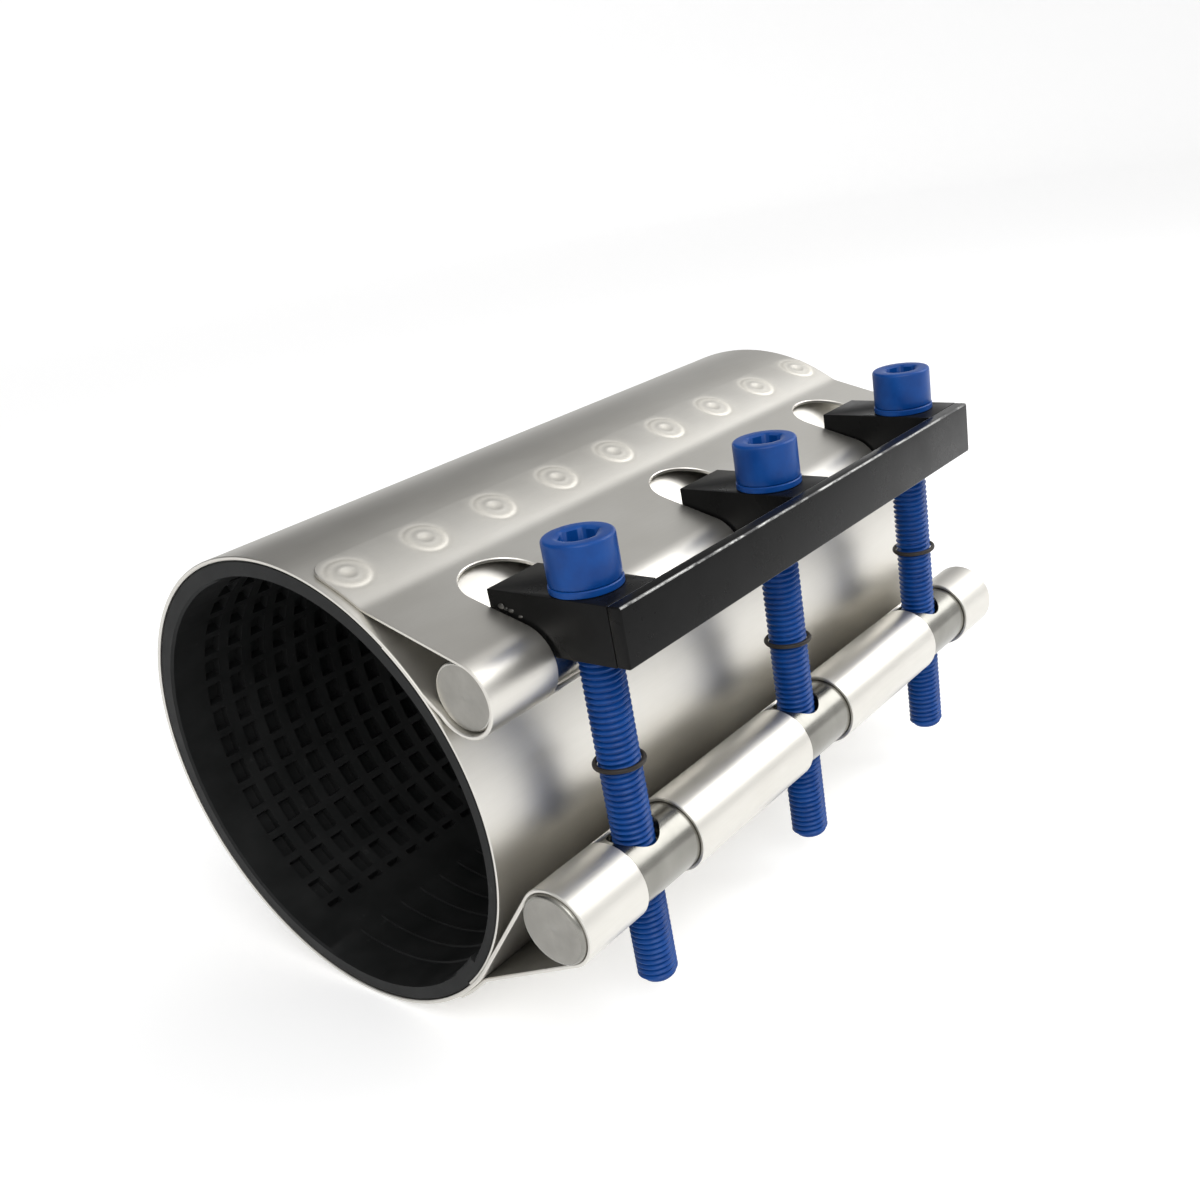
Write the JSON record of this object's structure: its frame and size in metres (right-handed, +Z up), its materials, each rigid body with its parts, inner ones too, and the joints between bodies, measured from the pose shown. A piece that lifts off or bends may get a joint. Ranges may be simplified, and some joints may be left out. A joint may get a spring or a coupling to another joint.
{
  "type": "pipe repair clamp",
  "caption": "Stainless pipe repair clamp with a waffle rubber gasket, drawn shut by socket-head bolts through a hooked lug bar.",
  "frame": {"origin": "on the bore's axis at the middle of the clamp's length", "axes": "+X along the pipe, +Y out of the bore towards the bolts, +Z up along the bolts towards their heads"},
  "size_m": [0.2, 0.1496, 0.1226],
  "materials": {
    "stainless_sheet": "satin brushed",
    "bar_steel": "turned",
    "gasket_rubber": "matte",
    "black_lug": "semi-gloss black",
    "blue_coating": "glossy blue coating",
    "ring_rubber": "matte"
  },
  "bodies": {
    "band": {"shell_band": "stainless_sheet", "upper_flap": "stainless_sheet", "lower_flap_1": "stainless_sheet", "lower_flap_2": "stainless_sheet", "lower_flap_3": "stainless_sheet", "lower_flap_4": "stainless_sheet", "upper_strap_1": "stainless_sheet", "upper_strap_2": "stainless_sheet", "upper_strap_3": "stainless_sheet", "upper_strap_4": "stainless_sheet", "lower_strap_1": "stainless_sheet", "lower_strap_2": "stainless_sheet", "lower_strap_3": "stainless_sheet", "lower_strap_4": "stainless_sheet", "bridge_plate": "stainless_sheet", "gasket": "gasket_rubber", "upper_bar": "bar_steel"},
    "lug": {"lower_bar": "bar_steel", "lug_rail": "black_lug", "hook_1": "black_lug", "hook_2": "black_lug", "hook_3": "black_lug", "washer_1": "blue_coating", "washer_2": "blue_coating", "washer_3": "blue_coating"},
    "ring_1": {"sealing_ring_1": "ring_rubber"},
    "ring_2": {"sealing_ring_2": "ring_rubber"},
    "ring_3": {"sealing_ring_3": "ring_rubber"},
    "bolt_1": {"bolt_1": "blue_coating"},
    "bolt_2": {"bolt_2": "blue_coating"},
    "bolt_3": {"bolt_3": "blue_coating"}
  },
  "joints": [
    {"name": "lug_swing", "type": "hinge", "parent": "band", "child": "lug", "pos_m": [0, 0.0733, -0.0182], "axis": [-1, 0, 0], "range_deg": [0, 30]},
    {"name": "bolt_1_rise", "type": "slide", "parent": "lug", "child": "ring_1", "axis": [0, 0, 1], "range_m": [0, 0.021]},
    {"name": "bolt_2_rise", "type": "slide", "parent": "lug", "child": "ring_2", "axis": [0, 0, 1], "range_m": [0, 0.021]},
    {"name": "bolt_3_rise", "type": "slide", "parent": "lug", "child": "ring_3", "axis": [0, 0, 1], "range_m": [0, 0.021]},
    {"name": "bolt_1_turn", "type": "hinge", "parent": "ring_1", "child": "bolt_1", "pos_m": [-0.07, 0.0733, 0.008], "axis": [0, 0, 1], "range_deg": [0, 5040]},
    {"name": "bolt_2_turn", "type": "hinge", "parent": "ring_2", "child": "bolt_2", "pos_m": [0, 0.0733, 0.008], "axis": [0, 0, 1], "range_deg": [0, 5040]},
    {"name": "bolt_3_turn", "type": "hinge", "parent": "ring_3", "child": "bolt_3", "pos_m": [0.07, 0.0733, 0.008], "axis": [0, 0, 1], "range_deg": [0, 5040]}
  ],
  "couplings": [
    {"joint": "bolt_1_turn", "follows": "bolt_1_rise", "rad_per_m": 4188.8},
    {"joint": "bolt_2_turn", "follows": "bolt_2_rise", "rad_per_m": 4188.8},
    {"joint": "bolt_3_turn", "follows": "bolt_3_rise", "rad_per_m": 4188.8}
  ]
}
